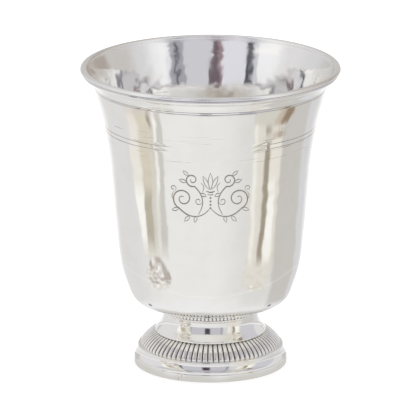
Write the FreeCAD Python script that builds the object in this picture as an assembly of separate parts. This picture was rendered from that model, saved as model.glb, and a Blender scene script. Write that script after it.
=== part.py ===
import FreeCAD, Part
import math
import os

# A footed silver beaker with a flared, tulip-shaped bowl.
# The axis is Z, the foot stands on z = 0, and all sizes are in millimetres.

# Driving sizes of the whole beaker
overall_height = 118.0
rim_diameter = 99.8
body_diameter = 71.6
neck_diameter = 36.4
base_diameter = 58.8

# Heights of the stacked pieces of the foot
band_height = 2.8
skirt_height = 4.65
gadroon_height = 5.65
neck_height = 7.5
wire_height = 1.0

# Walls
bowl_wall = 0.75
foot_wall = 0.8
band_wall = 1.1
gadroon_wall = 1.1

# Lip moulding: a half-round nose with a smaller reed below it
lip_nose_radius = 1.3
lip_wire_height = 3.7
lip_wall_lean = 0.7
lip_groove_height = 0.4
lip_groove_depth = 0.35
lip_reed_step = 0.3

# Bowl
bottom_sag = 1.0
engraved_line_width = 0.3
engraved_line_depth = 0.12
upper_lines_below_lip = 7.2
upper_lines_spacing = 0.8
lower_lines_below_lip = 22.1
lower_lines_spacing = 1.8

# Beads and plain wire between the bowl and the neck
bead_diameter = 1.4
bead_gap = 0.06
bead_overhang = 0.4
bead_root_depth = 0.35
wire_overhang = 0.75
seat_margin = 0.35

# Neck
neck_flange_width = 3.3
neck_flange_edge = 0.35
neck_top_flare = 0.1
neck_inner_ledge = 0.6

# Gadroons: convex lobes side by side around a sloping ring
gadroon_pitch = 2.14
gadroon_depth = 0.7
gadroon_crown = 0.6
gadroon_ledge = 0.85
gadroon_shoulder = 0.35

# Skirt and base band
skirt_waist_inset = 2.0
skirt_fillet_reach = 0.7
skirt_fillet_height = 1.1
skirt_fillet_round = 0.4
skirt_lip_thickness = 0.7
band_step = 0.35
band_edge = 0.15
skirt_foot_gap = 0.3
skirt_inner_ledge = 0.6

# Legs of the solder fillets inside the foot, and their room beside the gadroon ring's slope
solder_leg = 0.5
solder_clearance = 0.02

# The bowl's outline, from its seat to the body's full width:
# how far up the flank, and how far out from the seat to the body
low_outline_shares = (
    (0.0145, 0.305),
    (0.0285, 0.525),
    (0.049, 0.646),
    (0.085, 0.740),
    (0.164, 0.887),
    (0.296, 1.0),
)

# From the body to the lip: how far up the flank, and how far out from the body to the lip
high_outline_shares = (
    (0.515, 0.152),
    (0.624, 0.227),
    (0.734, 0.350),
    (0.854, 0.545),
    (0.931, 0.710),
    (0.972, 0.814),
    (1.0, 1.0),
)

# Where the curved stretches of the lip, neck and skirt pass, as shares of their reach
reed_middle_shares = (0.25, 0.45)
neck_straight_share = 0.05
neck_slope_shares = (0.603, 0.267)
neck_middle_shares = (0.26, 0.459)
neck_inner_middle_shares = (0.22, 0.50)
skirt_middle_shares = (0.27, 0.44)
skirt_inner_foot_share = 0.14
gadroon_end_share = 0.36

# How finely one lobe is sampled, across and along
lobe_points_across = 7
lobe_points_along = 13

# How often a search along an outline halves its stretch
halvings = 40

# Levels
skirt_base = band_height
gadroon_base = skirt_base + skirt_height
neck_base = gadroon_base + gadroon_height
wire_base = neck_base + neck_height
bead_base = wire_base + wire_height
seat_height = bead_base + bead_diameter
lip_base = overall_height - lip_wire_height

# Radii
rim_radius = rim_diameter / 2
body_radius = body_diameter / 2
neck_radius = neck_diameter / 2
base_radius = base_diameter / 2
lip_inner_radius = rim_radius - 2 * lip_nose_radius
lip_wall_radius = lip_inner_radius + bowl_wall
lip_seat_radius = lip_wall_radius - lip_wall_lean
neck_inner_radius = neck_radius - foot_wall
wire_radius = neck_radius + wire_overhang
bead_circle_radius = wire_radius + bead_overhang
seat_radius = bead_circle_radius + seat_margin
flange_radius = neck_radius + neck_flange_width
band_inner_radius = base_radius - band_wall
skirt_waist_radius = base_radius - skirt_waist_inset
skirt_fillet_radius = skirt_waist_radius + skirt_fillet_reach
skirt_top_radius = skirt_fillet_radius - skirt_fillet_round
gadroon_foot_radius = skirt_top_radius - gadroon_ledge
gadroon_head_radius = flange_radius - gadroon_ledge
gadroon_inner_foot = gadroon_foot_radius - gadroon_wall
gadroon_inner_head = gadroon_head_radius - gadroon_wall

origin = FreeCAD.Vector(0, 0, 0)
up = FreeCAD.Vector(0, 0, 1)


def at(radius, height):
    """A point of a cross-section, in the XZ plane."""
    return FreeCAD.Vector(radius, 0, height)


def line(start, end):
    return Part.LineSegment(start, end).toShape()


def arc(start, middle, end):
    return Part.Arc(start, middle, end).toShape()


def curve(points):
    spline = Part.BSplineCurve()
    spline.interpolate(points)
    return spline


def turned(edges):
    """Turn a closed cross-section round the axis into a solid."""
    section = Part.Face(Part.Wire(edges))
    solid = section.revolve(origin, up, 360)
    return solid if solid.Volume > 0 else solid.reversed()


def polygon(corners):
    closed = list(corners) + [corners[0]]
    return [line(a, b) for a, b in zip(closed, closed[1:])]


def bowl_outline():
    """The outside of the bowl's flank, from its seat to the lower edge of the lip."""
    flank = lip_base - seat_height
    points = [at(seat_radius, seat_height)]
    for height_share, reach_share in low_outline_shares:
        radius = seat_radius + reach_share * (body_radius - seat_radius)
        points.append(at(radius, seat_height + height_share * flank))
    for height_share, reach_share in high_outline_shares:
        radius = body_radius + reach_share * (lip_seat_radius - body_radius)
        points.append(at(radius, seat_height + height_share * flank))
    return points


def inner_outline(points):
    """The same outline moved inwards by the wall, and on to the inner edge of the lip's nose."""
    outside = curve(points)
    inside = []
    for point in points[:-1]:
        along = outside.tangent(outside.parameter(point))[0]
        inwards = FreeCAD.Vector(-along.z, 0, along.x)
        inside.append(point + inwards * bowl_wall)
    inside.append(at(lip_inner_radius, overall_height - lip_nose_radius))
    return inside


def parameter_at(outside, height):
    """Where along an outline that climbs it crosses a height."""
    low = outside.FirstParameter
    high = outside.LastParameter
    for _ in range(halvings):
        middle = (low + high) / 2
        if outside.value(middle).z < height:
            low = middle
        else:
            high = middle
    return low


def engraved_flank(outside):
    """The edges of the bowl's outside, with a V-shaped notch at each engraved line."""
    upper = overall_height - upper_lines_below_lip
    lower = overall_height - lower_lines_below_lip
    heights = [lower - lower_lines_spacing, lower, upper - upper_lines_spacing, upper]
    edges = []
    start = outside.FirstParameter
    for height in sorted(heights):
        below = parameter_at(outside, height - engraved_line_width / 2)
        above = parameter_at(outside, height + engraved_line_width / 2)
        surface = outside.value(parameter_at(outside, height))
        root = at(surface.x - engraved_line_depth, height)
        edges.append(outside.toShape(start, below))
        edges.append(line(outside.value(below), root))
        edges.append(line(root, outside.value(above)))
        start = above
    edges.append(outside.toShape(start, outside.LastParameter))
    return edges


def lip_nose_top(radius):
    """The height of the lip's half-round nose at a radius."""
    centre = overall_height - lip_nose_radius
    across = radius - (rim_radius - lip_nose_radius)
    return centre + math.sqrt(max(0, lip_nose_radius ** 2 - across ** 2))


def nose_arc(start_radius, end_radius):
    """A stretch of the lip's half-round nose."""
    middle = (start_radius + end_radius) / 2
    return arc(
        at(start_radius, lip_nose_top(start_radius)),
        at(middle, lip_nose_top(middle)),
        at(end_radius, lip_nose_top(end_radius)),
    )


def dome_arc(start_radius, end_radius, edge):
    """A stretch of a shallow dome that sags below its edge, which is a point at its full radius."""
    sphere_radius = (edge.x ** 2 + bottom_sag ** 2) / (2 * bottom_sag)
    centre_height = edge.z - bottom_sag + sphere_radius
    radii = (start_radius, (start_radius + end_radius) / 2, end_radius)
    points = [at(r, centre_height - math.sqrt(sphere_radius ** 2 - r ** 2)) for r in radii]
    return arc(*points)


def make_bowl():
    """The raised bowl: a thin sheet with a flat seat under it and the lip's inner half on top."""
    outside_points = bowl_outline()
    inside_points = inner_outline(outside_points)
    nose_level = overall_height - lip_nose_radius
    seat_inner = at(neck_inner_radius, seat_height)
    floor_edge = inside_points[0]
    wall_top = at(lip_wall_radius, lip_nose_top(lip_wall_radius))
    return turned([
        dome_arc(0, neck_inner_radius, seat_inner),
        line(seat_inner, outside_points[0]),
        *engraved_flank(curve(outside_points)),
        line(outside_points[-1], at(lip_wall_radius, nose_level)),
        line(at(lip_wall_radius, nose_level), wall_top),
        nose_arc(lip_wall_radius, lip_inner_radius),
        curve(inside_points).toShape(),
        dome_arc(floor_edge.x, 0, floor_edge),
        line(at(0, floor_edge.z - bottom_sag), at(0, seat_height - bottom_sag)),
    ])


def make_lip_moulding():
    """The drawn wire soldered round the outside of the bowl's mouth."""
    nose_level = overall_height - lip_nose_radius
    groove_bottom = nose_level - lip_groove_height
    groove = at(rim_radius - lip_groove_depth, nose_level - lip_groove_height / 2)
    reed_top = at(rim_radius - lip_reed_step, groove_bottom)
    reed_foot = at(lip_seat_radius + lip_reed_step, lip_base)
    reed_middle = at(
        reed_top.x - reed_middle_shares[0] * (reed_top.x - reed_foot.x),
        reed_top.z - reed_middle_shares[1] * (reed_top.z - reed_foot.z),
    )
    wall_top = at(lip_wall_radius, lip_nose_top(lip_wall_radius))
    return turned([
        line(at(lip_seat_radius, lip_base), at(lip_wall_radius, nose_level)),
        line(at(lip_wall_radius, nose_level), wall_top),
        nose_arc(lip_wall_radius, rim_radius),
        line(at(rim_radius, nose_level), groove),
        line(groove, reed_top),
        arc(reed_top, reed_middle, reed_foot),
        line(reed_foot, at(lip_seat_radius, lip_base)),
    ])


def make_bead_collar():
    """A ring with a row of round beads, directly under the bowl."""
    root_radius = bead_circle_radius - bead_root_depth
    ring = turned(polygon([
        at(neck_inner_radius, bead_base),
        at(root_radius, bead_base),
        at(root_radius, seat_height),
        at(neck_inner_radius, seat_height),
    ]))
    count = round(2 * math.pi * bead_circle_radius / (bead_diameter + bead_gap))
    centre = at(bead_circle_radius, bead_base + bead_diameter / 2)
    beads = []
    for number in range(count):
        bead = Part.makeSphere(bead_diameter / 2, centre)
        bead.rotate(origin, up, 360 * number / count)
        beads.append(bead)
    return ring.multiFuse(beads)


def make_collar_wire():
    """The plain half-round wire between the beads and the neck."""
    root_radius = wire_radius - wire_height / 2
    middle = wire_base + wire_height / 2
    return turned([
        line(at(neck_inner_radius, wire_base), at(root_radius, wire_base)),
        arc(at(root_radius, wire_base), at(wire_radius, middle), at(root_radius, bead_base)),
        line(at(root_radius, bead_base), at(neck_inner_radius, bead_base)),
        line(at(neck_inner_radius, bead_base), at(neck_inner_radius, wire_base)),
    ])


def make_neck():
    """The hollow waisted neck, which spreads into a flange over the gadroons."""
    spread = flange_radius - neck_radius
    straight_end = wire_base - neck_straight_share * neck_height
    drop = straight_end - neck_base
    slope_start = at(
        neck_radius + neck_slope_shares[0] * spread,
        neck_base + neck_slope_shares[1] * neck_height,
    )
    cove_middle = at(
        neck_radius + neck_middle_shares[0] * (slope_start.x - neck_radius),
        slope_start.z + neck_middle_shares[1] * (straight_end - slope_start.z),
    )
    inner_foot = at(gadroon_inner_head - neck_inner_ledge, neck_base)
    inner_spread = inner_foot.x - neck_inner_radius
    inner_middle = at(
        neck_inner_radius + neck_inner_middle_shares[0] * inner_spread,
        straight_end - neck_inner_middle_shares[1] * drop,
    )
    top = at(neck_radius + neck_top_flare, wire_base)
    waist = at(neck_radius, straight_end)
    flange_top = at(flange_radius, neck_base + neck_flange_edge)
    inner_waist = at(neck_inner_radius, straight_end)
    return turned([
        line(top, waist),
        arc(waist, cove_middle, slope_start),
        line(slope_start, flange_top),
        line(flange_top, at(flange_radius, neck_base)),
        line(at(flange_radius, neck_base), inner_foot),
        arc(inner_foot, inner_middle, inner_waist),
        line(inner_waist, at(neck_inner_radius, wire_base)),
        line(at(neck_inner_radius, wire_base), top),
    ])


def gadroon_floor(share):
    """A point of the grooves between the lobes, and the direction outwards from it."""
    start = at(gadroon_foot_radius, gadroon_base)
    end = at(gadroon_head_radius, neck_base - gadroon_shoulder)
    chord = end - start
    outwards = FreeCAD.Vector(chord.z, 0, -chord.x).normalize()
    swing = 2 * math.atan(2 * gadroon_crown / chord.Length)
    radius = chord.Length / (2 * math.sin(swing))
    centre = start + chord / 2 - outwards * (radius - gadroon_crown)
    angle = swing * (2 * share - 1)
    normal = outwards * math.cos(angle) + chord.normalize() * math.sin(angle)
    return centre + normal * radius, normal


def lobe_surface(half_angle):
    """One lobe between two grooves, round across and round at both ends."""
    grid = []
    for row in range(lobe_points_along):
        share = (1 - math.cos(math.pi * row / (lobe_points_along - 1))) / 2
        point, normal = gadroon_floor(share)
        from_end = min(share, 1 - share) / (gadroon_end_share / 2)
        end_rise = math.sqrt(1 - (1 - min(from_end, 1)) ** 2)
        line_of_points = []
        for column in range(lobe_points_across):
            across = math.cos(math.pi * (1 - column / (lobe_points_across - 1)))
            rise = gadroon_depth * end_rise * math.sqrt(max(0, 1 - across ** 2))
            place = point + normal * rise
            angle = half_angle * across
            line_of_points.append(FreeCAD.Vector(
                place.x * math.cos(angle),
                place.x * math.sin(angle),
                place.z,
            ))
        grid.append(line_of_points)
    surface = Part.BSplineSurface()
    surface.interpolate(grid)
    return surface.toShape()


def edges_at(faces, height):
    """The edges of some faces that lie flat at a height."""
    found = []
    for face in faces:
        for edge in face.Edges:
            box = edge.BoundBox
            if max(height - box.ZMin, box.ZMax - height) < gadroon_shoulder / 4:
                found.append(edge)
    return found


def ring_face(outer_edges, inner_radius, height):
    """A flat ring between a row of edges and an inner circle."""
    outer = Part.Wire(Part.__sortEdges__(outer_edges))
    inner = Part.Wire(Part.makeCircle(inner_radius, at(0, height), up))
    return Part.makeFace([outer, inner], "Part::FaceMakerBullseye")


def make_gadroon_ring():
    """The sloping ring of gadroons, sewn from its lobes, a shoulder, flat faces and its inside."""
    count = round(2 * math.pi * gadroon_foot_radius / gadroon_pitch)
    lobe = lobe_surface(math.pi / count)
    head = edges_at([lobe], neck_base - gadroon_shoulder)[0]
    raised = head.translated(up * gadroon_shoulder)
    shoulder = Part.makeRuledSurface(head, raised)
    lobes = []
    for number in range(count):
        for face in (lobe, shoulder):
            copy = face.copy()
            copy.rotate(origin, up, 360 * number / count)
            lobes.append(copy)
    inside = line(
        at(gadroon_inner_foot, gadroon_base),
        at(gadroon_inner_head, neck_base),
    ).revolve(origin, up, 360)
    bottom = ring_face(edges_at(lobes, gadroon_base), gadroon_inner_foot, gadroon_base)
    top = ring_face(edges_at(lobes, neck_base), gadroon_inner_head, neck_base)
    shell = Part.Shell(lobes + [inside, bottom, top])
    shell.sewShape()
    solid = Part.Solid(shell)
    return solid if solid.Volume > 0 else solid.reversed()


def make_skirt():
    """The flared skirt: a round fillet, a cove and a hidden flange inside the base band."""
    fillet_base = gadroon_base - skirt_fillet_height
    cove_top = at(skirt_waist_radius, fillet_base)
    lip_radius = base_radius - band_step
    cove_foot = at(lip_radius, skirt_base + skirt_lip_thickness)
    cove_middle = at(
        cove_top.x + skirt_middle_shares[0] * (cove_foot.x - cove_top.x),
        cove_foot.z + skirt_middle_shares[1] * (cove_top.z - cove_foot.z),
    )
    flange_inner = band_inner_radius - foot_wall
    inner_top = at(skirt_waist_radius - foot_wall, gadroon_base - foot_wall)
    inner_foot = at(flange_inner, skirt_base + skirt_inner_foot_share * skirt_height)
    inner_middle = at(
        inner_top.x + skirt_middle_shares[0] * (inner_foot.x - inner_top.x),
        inner_foot.z + skirt_middle_shares[1] * (inner_top.z - inner_foot.z),
    )
    fillet_top = at(skirt_top_radius, gadroon_base)
    fillet_middle = at(skirt_fillet_radius, gadroon_base - skirt_fillet_height / 2)
    rim_inner = gadroon_inner_foot - skirt_inner_ledge
    return turned([
        line(at(rim_inner, gadroon_base), fillet_top),
        arc(fillet_top, fillet_middle, cove_top),
        arc(cove_top, cove_middle, cove_foot),
        line(cove_foot, at(lip_radius, skirt_base)),
        line(at(lip_radius, skirt_base), at(band_inner_radius, skirt_base)),
        line(at(band_inner_radius, skirt_base), at(band_inner_radius, skirt_foot_gap)),
        line(at(band_inner_radius, skirt_foot_gap), at(flange_inner, skirt_foot_gap)),
        line(at(flange_inner, skirt_foot_gap), inner_foot),
        arc(inner_foot, inner_middle, inner_top),
        line(inner_top, at(rim_inner, inner_top.z)),
        line(at(rim_inner, inner_top.z), at(rim_inner, gadroon_base)),
    ])


def make_base_band():
    """The strip round the bottom that the beaker stands on."""
    return turned(polygon([
        at(band_inner_radius, 0),
        at(base_radius - band_edge, 0),
        at(base_radius, band_edge),
        at(base_radius, band_height - band_edge),
        at(base_radius - band_edge, band_height),
        at(band_inner_radius, band_height),
    ]))


def make_bowl_solder():
    """Solder under the bowl, in the corner inside the bead collar."""
    corner = at(neck_inner_radius, seat_height)
    dome = dome_arc(neck_inner_radius, neck_inner_radius - solder_leg, corner)
    dome_end = dome.Vertexes[-1].Point
    low = at(neck_inner_radius, dome_end.z - solder_leg)
    return turned([dome, line(dome_end, low), line(low, corner)])


def solder_slope():
    """The line just inside the gadroon ring's slope: its foot, its head and its direction."""
    foot = at(gadroon_inner_foot - solder_clearance, gadroon_base)
    head = at(gadroon_inner_head - solder_clearance, neck_base)
    return foot, head, (head - foot).normalize()


def make_neck_solder():
    """Solder inside the foot, between the neck's underside and the gadroon ring."""
    foot, head, climb = solder_slope()
    return turned(polygon([
        head,
        head - climb * solder_leg,
        head - at(solder_leg, 0),
    ]))


def make_skirt_solder():
    """Solder inside the foot, where the gadroon ring stands on the skirt."""
    foot, head, climb = solder_slope()
    return turned(polygon([
        foot,
        foot - at(solder_leg, 0),
        foot + climb * solder_leg,
    ]))


def make_band_solder():
    """Solder in the small step under the skirt's flange, inside the base band."""
    return turned(polygon([
        at(band_inner_radius, skirt_foot_gap),
        at(band_inner_radius - solder_leg, skirt_foot_gap),
        at(band_inner_radius, skirt_foot_gap / 2),
    ]))


pieces = {
    "bowl": make_bowl,
    "lip_moulding": make_lip_moulding,
    "bead_collar": make_bead_collar,
    "collar_wire": make_collar_wire,
    "neck": make_neck,
    "gadroon_ring": make_gadroon_ring,
    "skirt": make_skirt,
    "base_band": make_base_band,
    "bowl_solder": make_bowl_solder,
    "neck_solder": make_neck_solder,
    "skirt_solder": make_skirt_solder,
    "band_solder": make_band_solder,
}

os.makedirs("parts", exist_ok=True)
for node, make in pieces.items():
    make().exportStep(f"parts/{node}.step")
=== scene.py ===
import math

import bpy
import numpy as np
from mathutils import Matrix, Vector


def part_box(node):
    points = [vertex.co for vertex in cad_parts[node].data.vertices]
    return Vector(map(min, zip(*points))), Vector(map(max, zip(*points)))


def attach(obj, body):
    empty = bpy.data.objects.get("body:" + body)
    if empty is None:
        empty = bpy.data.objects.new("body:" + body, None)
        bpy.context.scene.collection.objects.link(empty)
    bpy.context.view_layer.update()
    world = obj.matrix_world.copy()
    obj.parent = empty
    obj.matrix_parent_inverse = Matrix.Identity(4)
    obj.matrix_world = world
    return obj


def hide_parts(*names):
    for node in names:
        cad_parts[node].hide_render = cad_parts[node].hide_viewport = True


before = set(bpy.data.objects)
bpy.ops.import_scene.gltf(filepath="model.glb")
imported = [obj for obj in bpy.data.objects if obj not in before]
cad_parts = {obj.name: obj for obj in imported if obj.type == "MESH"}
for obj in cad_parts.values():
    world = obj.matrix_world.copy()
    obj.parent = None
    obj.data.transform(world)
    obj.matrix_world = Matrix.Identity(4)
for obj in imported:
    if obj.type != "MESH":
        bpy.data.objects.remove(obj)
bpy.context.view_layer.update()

# A footed silver beaker, dressed in fine meshes that follow the solids.
# The axis is Z, the front is towards -Y, and all sizes are in metres.

# Sizes that the solids give
rim_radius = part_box("lip_moulding")[1].x
lip_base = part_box("lip_moulding")[0].z
overall_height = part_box("lip_moulding")[1].z
lip_wall_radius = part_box("bowl")[1].x
bead_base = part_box("bead_collar")[0].z
seat_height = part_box("bead_collar")[1].z
bead_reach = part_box("bead_collar")[1].x
wire_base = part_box("collar_wire")[0].z
wire_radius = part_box("collar_wire")[1].x
neck_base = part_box("neck")[0].z
flange_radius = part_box("neck")[1].x
gadroon_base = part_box("gadroon_ring")[0].z
skirt_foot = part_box("skirt")[0].z
skirt_lip_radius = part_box("skirt")[1].x
band_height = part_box("base_band")[1].z
base_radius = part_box("base_band")[1].x

# Walls
bowl_wall = 0.00075
foot_wall = 0.0008
band_wall = 0.0011
gadroon_wall = 0.0011

# Lip: a half-round nose with a smaller reed below it
nose_radius = 0.0013
lip_groove_height = 0.0004
lip_groove_depth = 0.00035
lip_reed_step = 0.0003
lip_wall_lean = 0.0007
reed_middle_shares = (0.25, 0.45)

# Bowl
body_radius = 0.0358
bottom_sag = 0.001
low_outline_shares = (
    (0.0145, 0.305),
    (0.0285, 0.525),
    (0.049, 0.646),
    (0.085, 0.740),
    (0.164, 0.887),
    (0.296, 1.0),
)
high_outline_shares = (
    (0.515, 0.152),
    (0.624, 0.227),
    (0.734, 0.350),
    (0.854, 0.545),
    (0.931, 0.710),
    (0.972, 0.814),
    (1.0, 1.0),
)
engraved_line_width = 0.0003
engraved_line_depth = 0.00012
upper_lines_below_lip = 0.0072
upper_lines_spacing = 0.0008
lower_lines_below_lip = 0.0221
lower_lines_spacing = 0.0018
lower_lines_worn_turns = (18, 34)
worn_line_share = 0.08

# Foot
bead_diameter = 0.0014
bead_gap = 0.00006
bead_root_depth = 0.00035
seat_margin = 0.00035
neck_inner_radius = 0.0174
neck_flange_edge = 0.00035
neck_top_flare = 0.0001
neck_shade_height = 0.00025
neck_inner_ledge = 0.0006
neck_straight_share = 0.05
neck_slope_shares = (0.603, 0.267)
neck_middle_shares = (0.26, 0.459)
neck_inner_middle_shares = (0.22, 0.50)
gadroon_pitch = 0.00214
gadroon_depth = 0.0007
gadroon_crown = 0.0006
gadroon_ledge = 0.00085
gadroon_shoulder = 0.00035
gadroon_end_share = 0.36
skirt_waist_inset = 0.002
skirt_fillet_reach = 0.0007
skirt_fillet_height = 0.0011
skirt_fillet_round = 0.0004
skirt_lip_thickness = 0.0007
skirt_inner_ledge = 0.0006
skirt_middle_shares = (0.27, 0.44)
skirt_inner_foot_share = 0.14
band_edge = 0.00015
band_joint_step = -25
band_joint_slant = 3

# The uneven sheet of the bowl: waves in the turn from the fewest to the most, and how they climb
hammer_height = 0.00006
hammer_waves = 40
hammer_turns = (2, 22)
hammer_climb = 420
fine_hammer_height = 0.00006
fine_hammer_waves = 90
fine_hammer_turns = (30, 75)
fine_hammer_climb = 1000
calm_above_seat = 0.01
calm_below_lip = (0.006, 0.0005)

# How finely the meshes are made
turn_steps = 360
sharp_angle = 35
low_flank_share = 0.3
low_flank_rows = 28
low_flank_crowding = 2.2
flank_rows = 46
inside_rows = 110
underside_rows = 9
bottom_rows = 26
bowl_back_columns = 250
nose_rows = 10
lip_nose_rows = 14
lobe_columns = 12
lobe_rows = 26
bead_columns = 12
bead_rows = 14
card_steps = 24
canopy_steps = 72

# The camera that took the photograph: far away, a little above the beaker
camera_distance = 2.4
camera_elevation = math.radians(15.7)
camera_lens = 533.8
camera_sensor = 36.0
camera_reach = 20.0
camera_target = (-0.00019, 0.0, 0.06055)

# The cards beside the beaker and the canopy above its foot, which it mirrors
card_distance = 0.080
card_height = 0.100
canopy_level = 0.101
canopy_inner = 0.054
canopy_outer = 3.0

# The floor, with a thin painted ring of light and two marks that the bowl's lower end mirrors
floor_half_width = 4.0
floor_glow = 0.30
ring_centre = 0.036
ring_radius = 0.097
ring_width = 0.0007
ring_strength = 0.55
mark_places = ((-0.047, 0.0), (0.046, -0.003))
mark_radius = 0.003
mark_softness = 0.001
streak_end = (0.070, 0.084)

silver_colour = (0.93, 0.92, 0.89)
clouded_shares = (0.93, 0.91, 0.87)
# Tarnish in the hollows, which also serves as painted shade in grooves and between parts
tarnish_and_shade_colour = (0.30, 0.26, 0.23)
scrape_colour = (0.42, 0.40, 0.37)
solder_colour = (0.62, 0.60, 0.56)
paper_colour = (0.93, 0.93, 0.93)

# Wear: how fine its noises are, where the scrapes lie and how high the scratches stand
cloud_scale = 90.0
speck_scale = 900.0
scratch_scale = 5000.0
scratch_stretch = 0.004
scrape_scale = 1500.0
scrape_stretch = 0.0012
scrape_slope = 0.0006
scrape_patch_scale = 55.0
scrape_belt = (0.0885, 0.1005)
scratch_strength = 0.12
scratch_height = 0.00004
lip_wear_roughness = 0.2

dice = np.random.default_rng(7)


# Curves in the section plane, as rows of radius and height

def arc(start, middle, end, steps=16):
    """Points on the circle through three points."""
    a, b, c = (np.array(p, float) for p in (start, middle, end))
    spread = 2 * np.array([b - a, c - a])
    centre = np.linalg.solve(spread, [b @ b - a @ a, c @ c - a @ a])
    radius = np.linalg.norm(a - centre)
    first, via, last = (math.atan2(*(p - centre)[::-1]) for p in (a, b, c))
    whole = 2 * math.pi
    sweep = (last - first) % whole
    if (via - first) % whole > sweep:
        sweep -= whole
    turn = first + sweep * np.linspace(0, 1, steps + 1)
    return centre + radius * np.column_stack([np.cos(turn), np.sin(turn)])


class Spline:
    """The smooth curve through some points, by the distance along its chords."""

    def __init__(self, points):
        self.points = np.array(points, float)
        chords = np.linalg.norm(np.diff(self.points, axis=0), axis=1)
        self.knots = np.concatenate([[0], np.cumsum(chords)])
        count = len(self.points)
        matrix = np.eye(count)
        right = np.zeros_like(self.points)
        for i in range(1, count - 1):
            matrix[i, i - 1:i + 2] = (chords[i - 1], 2 * (chords[i - 1] + chords[i]), chords[i])
            rise = np.diff(self.points[i - 1:i + 2], axis=0) / chords[i - 1:i + 1, None]
            right[i] = 6 * (rise[1] - rise[0])
        self.bends = np.linalg.solve(matrix, right)

    def at(self, places):
        places = np.asarray(places, float)
        i = np.clip(np.searchsorted(self.knots, places) - 1, 0, len(self.knots) - 2)
        width = self.knots[i + 1] - self.knots[i]
        after = ((places - self.knots[i]) / width)[:, None]
        before = 1 - after
        bend = (before ** 3 - before) * self.bends[i] + (after ** 3 - after) * self.bends[i + 1]
        return before * self.points[i] + after * self.points[i + 1] + bend * width[:, None] ** 2 / 6

    def at_heights(self, heights):
        """Points at some heights, on a curve that climbs."""
        places = np.linspace(0, self.knots[-1], 4000)
        return self.at(np.interp(heights, self.at(places)[:, 1], places))


def section_normals(section):
    """The outward normal at each point of an open section that runs with the inside on its left."""
    along = np.gradient(section, axis=0)
    along /= np.linalg.norm(along, axis=1)[:, None]
    return np.column_stack([along[:, 1], -along[:, 0]])


# Meshes

def mesh_object(name, points, faces):
    """An object in the scene with this mesh."""
    mesh = bpy.data.meshes.new(name)
    mesh.from_pydata(points, [], faces)
    made = bpy.data.objects.new(name, mesh)
    bpy.context.scene.collection.objects.link(made)
    return made


def rows_to_faces(row_lists, closed):
    """Faces between neighbouring rows of point numbers. A row of one number is a pole."""
    faces = []
    pairs = list(zip(row_lists, row_lists[1:]))
    if closed:
        pairs.append((row_lists[-1], row_lists[0]))
    for low, high in pairs:
        count = max(len(low), len(high))
        for i in range(count):
            j = (i + 1) % count
            if len(low) == 1:
                faces.append((low[0], high[j], high[i]))
            elif len(high) == 1:
                faces.append((low[i], low[j], high[0]))
            else:
                faces.append((low[i], low[j], high[j], high[i]))
    return faces


def ringed(name, out, up, angles, recess):
    """A smooth closed mesh from rings of points, with a radius and a height by row and angle.

    A row of radius zero is a point on the axis, where the mesh ends.
    Recess is how deep each point lies in a groove, from 0 to 1."""
    points, depths, rows = [], [], []
    for radii, heights, depth in zip(out, up, recess):
        count = 1 if radii[0] < 1e-9 else len(angles)
        rows.append(list(range(len(points), len(points) + count)))
        ring = zip(radii * np.sin(angles), -radii * np.cos(angles), heights)
        points.extend(list(ring)[:count])
        depths.extend(depth[:count])
    piece = mesh_object(name, points, rows_to_faces(rows, closed=len(rows[0]) > 1))
    attribute = piece.data.attributes.new("recess", "FLOAT", "POINT")
    attribute.data.foreach_set("value", np.array(depths, np.float32))
    piece.data.update()
    piece.data.shade_smooth()
    piece.data.set_sharp_from_angle(angle=math.radians(sharp_angle))
    return piece


def turned(name, section, angles=None, push=0.0, recess=0.0):
    """A closed mesh made by turning a section round the axis.

    The section runs up the outside and down the inside. It closes on itself, or ends on the axis.
    Push and recess are one for all, or given for each row, or for each row and angle."""
    section = np.array(section, float)
    if angles is None:
        angles = np.arange(turn_steps) * 2 * math.pi / turn_steps
    normals = section_normals(section)
    shape = (len(section), len(angles))
    out = np.broadcast_to(section[:, :1] + push * normals[:, :1], shape)
    up = np.broadcast_to(section[:, 1:] + push * normals[:, 1:], shape)
    return ringed(name, out, up, angles, np.broadcast_to(recess, shape))


# Bowl

flank = lip_base - seat_height
bead_circle = bead_reach - bead_diameter / 2
seat_radius = bead_circle + seat_margin
lip_seat_radius = lip_wall_radius - lip_wall_lean
lip_inner_radius = rim_radius - 2 * nose_radius
nose_level = overall_height - nose_radius
nose_centre = rim_radius - nose_radius


def bowl_outline():
    points = [(seat_radius, seat_height)]
    for height_share, reach_share in low_outline_shares:
        radius = seat_radius + reach_share * (body_radius - seat_radius)
        points.append((radius, seat_height + height_share * flank))
    for height_share, reach_share in high_outline_shares:
        radius = body_radius + reach_share * (lip_seat_radius - body_radius)
        points.append((radius, seat_height + height_share * flank))
    return Spline(points)


lip_nose_split = math.acos((lip_wall_radius - nose_centre) / nose_radius)


def lip_nose(first_turn, last_turn, count):
    """Points on the lip's half-round nose. The bowl's sheet begins at lip_nose_split."""
    turns = np.linspace(first_turn, last_turn, count)
    return np.column_stack([
        nose_centre + nose_radius * np.cos(turns),
        nose_level + nose_radius * np.sin(turns),
    ])


def dome(radii, edge_radius, edge_height):
    """A shallow dome that sags below its edge."""
    sphere = (edge_radius ** 2 + bottom_sag ** 2) / (2 * bottom_sag)
    return edge_height - bottom_sag + sphere - np.sqrt(sphere ** 2 - np.asarray(radii) ** 2)


def smoothstep(values, low, high):
    share = np.clip((values - low) / (high - low), 0, 1)
    return share * share * (3 - 2 * share)


# The engraved ornament: scrolling leaves either side of a palmette, in shares of its half width
ornament_half_width = 0.0152
ornament_centre = 0.0790
ornament_depth = 0.00013
ornament_cell = 0.00014
ornament_fall_share = 0.92
ornament_rise_share = 0.56
ornament_side_share = 1.06


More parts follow.
